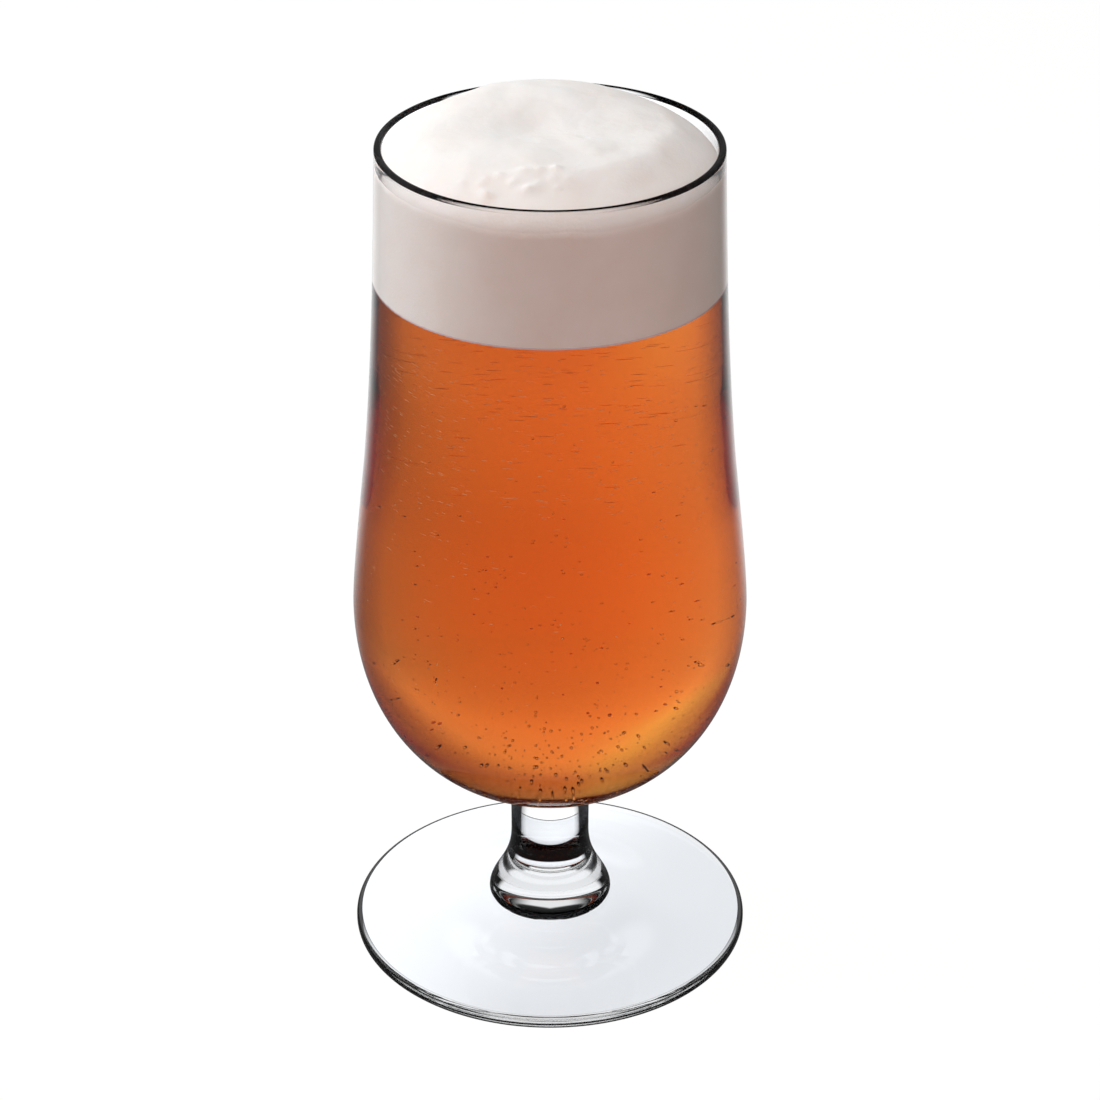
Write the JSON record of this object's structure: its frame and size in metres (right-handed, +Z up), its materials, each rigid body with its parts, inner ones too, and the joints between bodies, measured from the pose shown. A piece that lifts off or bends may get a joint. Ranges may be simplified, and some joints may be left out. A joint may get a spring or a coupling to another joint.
{
  "type": "tulip beer glass",
  "caption": "Stemmed tulip beer glass with a round belly, a slightly narrowing neck, a short solid stem and a disc foot, filled with amber beer under a domed head of foam.",
  "frame": {"origin": "centre of the ring that the foot rests on, at table height, under the glass's axis", "axes": "+Z up along the axis of the glass, +X to the right and +Y away from the picture's viewer"},
  "size_m": [0.0772, 0.0772, 0.1716],
  "materials": {
    "clear_glass": "clear, fire-polished",
    "amber_beer": "clear amber liquid",
    "beer_foam": "fine matt froth"
  },
  "bodies": {
    "glass": {"bowl": "clear_glass", "stem": "clear_glass", "foot": "clear_glass"},
    "drink": {"beer": "amber_beer", "foam_head": "beer_foam"}
  },
  "joints": [
    {"name": "drink_level", "type": "slide", "parent": "glass", "child": "drink", "axis": [0, 0, 1], "range_m": [-0.03, 0], "deforming": ["beer", "foam_head"]}
  ]
}
